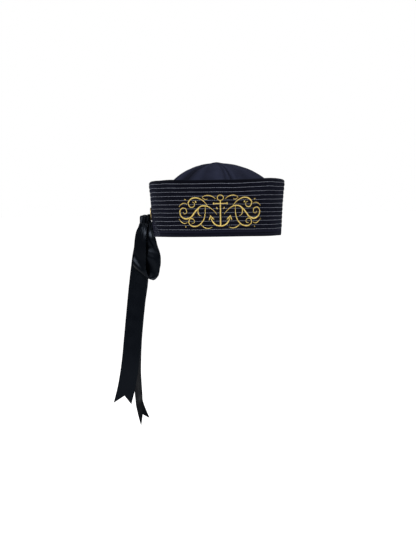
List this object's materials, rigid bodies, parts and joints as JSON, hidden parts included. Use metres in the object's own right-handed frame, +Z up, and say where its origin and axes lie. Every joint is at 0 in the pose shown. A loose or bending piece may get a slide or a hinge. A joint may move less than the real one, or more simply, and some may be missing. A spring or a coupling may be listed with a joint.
{
  "type": "sailor cap with side bow",
  "caption": "Round sailor cap with a domed gored crown inside an upright quilted brim, laced together at a side split by a ribbon tied in a bow with long tails.",
  "frame": {"origin": "centre of the head opening, in the plane of the rim", "axes": "+Z up through the crown, -Y towards the front of the cap, -X towards the side with the bow"},
  "size_m": [0.2595, 0.2034, 0.392],
  "materials": {
    "crown_twill": "matt navy cotton twill",
    "brim_twill": "matt dark navy cotton twill, quilted",
    "eyelet_brass": "bright rolled brass",
    "ribbon_satin": "black satin",
    "row_thread": "pale grey topstitching thread",
    "gold_thread": "gold satin-stitch embroidery thread"
  },
  "bodies": {
    "root": {"crown": "crown_twill", "brim": "brim_twill", "eyelet_front": "eyelet_brass", "eyelet_rear": "eyelet_brass", "lace": "ribbon_satin", "bow_knot": "ribbon_satin", "bow_loop_front": "ribbon_satin", "bow_loop_rear": "ribbon_satin", "ribbon_tail_front": "ribbon_satin", "ribbon_tail_rear": "ribbon_satin"}
  },
  "joints": []
}
